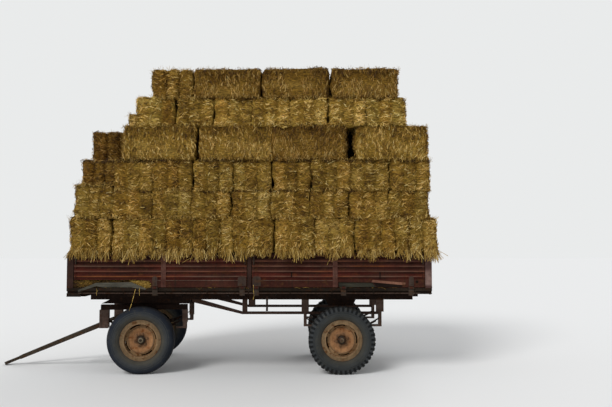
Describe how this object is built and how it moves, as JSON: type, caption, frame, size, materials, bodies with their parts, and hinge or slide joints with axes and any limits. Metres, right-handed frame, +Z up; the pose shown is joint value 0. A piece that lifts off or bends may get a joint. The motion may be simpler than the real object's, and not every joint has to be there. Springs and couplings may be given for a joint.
{
  "type": "hay wagon",
  "caption": "Two-axle drop-side farm wagon with a steered bogie and drawbar, its flat bed stacked high with courses of small straw bales.",
  "frame": {"origin": "on the ground, under the middle of the overall length and width, with the drawbar down and the bogie turned 4 degrees", "axes": "+X to the rear of the wagon, +Y to its right side, +Z up"},
  "size_m": [5.3794, 2.094, 3.606],
  "materials": {
    "chassis_paint": "dark rusty paint",
    "drawbar_paint": "rusty paint",
    "hub_iron": "dirty iron",
    "planks": "weathered boards",
    "rail_paint": "worn paint with rust",
    "side_paint": "faded red paint with rust",
    "straw": "loose cut straw",
    "tyre": "worn rubber",
    "wheel_paint": "rusty paint"
  },
  "bodies": {
    "wagon": {"axle_buffers": "chassis_paint", "bales_0": "straw", "bales_1": "straw", "bales_2": "straw", "bales_3": "straw", "bales_4": "straw", "bales_5": "straw", "bales_6": "straw", "bent_strip": "side_paint", "cross_joists": "chassis_paint", "end_rails": "rail_paint", "floor_planks": "planks", "headboard": "side_paint", "hinge_lugs": "rail_paint", "kingpin": "chassis_paint", "main_beams": "chassis_paint", "posts": "side_paint", "rear_axle": "chassis_paint", "rear_hangers": "chassis_paint", "side_rails": "rail_paint", "spring_rear_left": "chassis_paint", "spring_rear_right": "chassis_paint", "truss_chords": "chassis_paint", "truss_diagonals": "chassis_paint", "truss_posts": "chassis_paint", "upper_bolster": "chassis_paint", "upper_frame": "chassis_paint", "upper_ring": "chassis_paint"},
    "bogie": {"bogie_cross": "chassis_paint", "bogie_hangers": "chassis_paint", "bogie_rails": "chassis_paint", "drawbar_pins": "drawbar_paint", "front_axle": "chassis_paint", "lower_ring": "chassis_paint", "spring_front_left": "chassis_paint", "spring_front_right": "chassis_paint"},
    "drawbar": {"drawbar_crossbar": "drawbar_paint", "drawbar_legs": "drawbar_paint", "towing_eye": "drawbar_paint"},
    "gate_front_left": {"gate_front_left": "side_paint"},
    "gate_front_right": {"gate_front_right": "side_paint"},
    "gate_rear_left": {"gate_rear_left": "side_paint"},
    "gate_rear_right": {"gate_rear_right": "side_paint"},
    "wheel_front_left": {"hub_front_left": "hub_iron", "rim_front_left": "wheel_paint", "tyre_front_left": "tyre"},
    "wheel_front_right": {"hub_front_right": "hub_iron", "rim_front_right": "wheel_paint", "tyre_front_right": "tyre"},
    "wheel_rear_left": {"hub_rear_left": "hub_iron", "rim_rear_left": "wheel_paint", "tyre_rear_left": "tyre"},
    "wheel_rear_right": {"hub_rear_right": "hub_iron", "rim_rear_right": "wheel_paint", "tyre_rear_right": "tyre"},
    "tailgate": {"tailgate": "side_paint"}
  },
  "joints": [
    {"name": "steering", "type": "hinge", "parent": "wagon", "child": "bogie", "pos_m": [-0.85583, 0, 0.8], "axis": [0, 0, 1], "range_deg": [-90, 90]},
    {"name": "drawbar_hinge", "type": "hinge", "parent": "bogie", "child": "drawbar", "pos_m": [-1.34763, -0.03439, 0.563], "axis": [0.0698, -0.9976, 0], "range_deg": [-42, 0]},
    {"name": "wheel_front_left_spin", "type": "hinge", "parent": "bogie", "child": "wheel_front_left", "pos_m": [-0.80351, -0.74817, 0.4], "axis": [-0.0698, 0.9976, 0], "continuous": true},
    {"name": "wheel_front_right_spin", "type": "hinge", "parent": "bogie", "child": "wheel_front_right", "pos_m": [-0.90814, 0.74817, 0.4], "axis": [-0.0698, 0.9976, 0], "continuous": true},
    {"name": "wheel_rear_left_spin", "type": "hinge", "parent": "wagon", "child": "wheel_rear_left", "pos_m": [1.59917, -0.75, 0.4], "axis": [0, 1, 0], "continuous": true},
    {"name": "wheel_rear_right_spin", "type": "hinge", "parent": "wagon", "child": "wheel_rear_right", "pos_m": [1.59917, 0.75, 0.4], "axis": [0, 1, 0], "continuous": true},
    {"name": "gate_front_left_hinge", "type": "hinge", "parent": "wagon", "child": "gate_front_left", "pos_m": [0, -0.991, 1.035], "axis": [1, 0, 0], "range_deg": [0, 175]},
    {"name": "gate_rear_left_hinge", "type": "hinge", "parent": "wagon", "child": "gate_rear_left", "pos_m": [0, -0.991, 1.035], "axis": [1, 0, 0], "range_deg": [0, 175]},
    {"name": "gate_front_right_hinge", "type": "hinge", "parent": "wagon", "child": "gate_front_right", "pos_m": [0, 0.991, 1.035], "axis": [-1, 0, 0], "range_deg": [0, 175]},
    {"name": "gate_rear_right_hinge", "type": "hinge", "parent": "wagon", "child": "gate_rear_right", "pos_m": [0, 0.991, 1.035], "axis": [-1, 0, 0], "range_deg": [0, 175]},
    {"name": "tailgate_hinge", "type": "hinge", "parent": "wagon", "child": "tailgate", "pos_m": [2.66217, 0, 1.035], "axis": [0, 1, 0], "range_deg": [0, 175]}
  ]
}
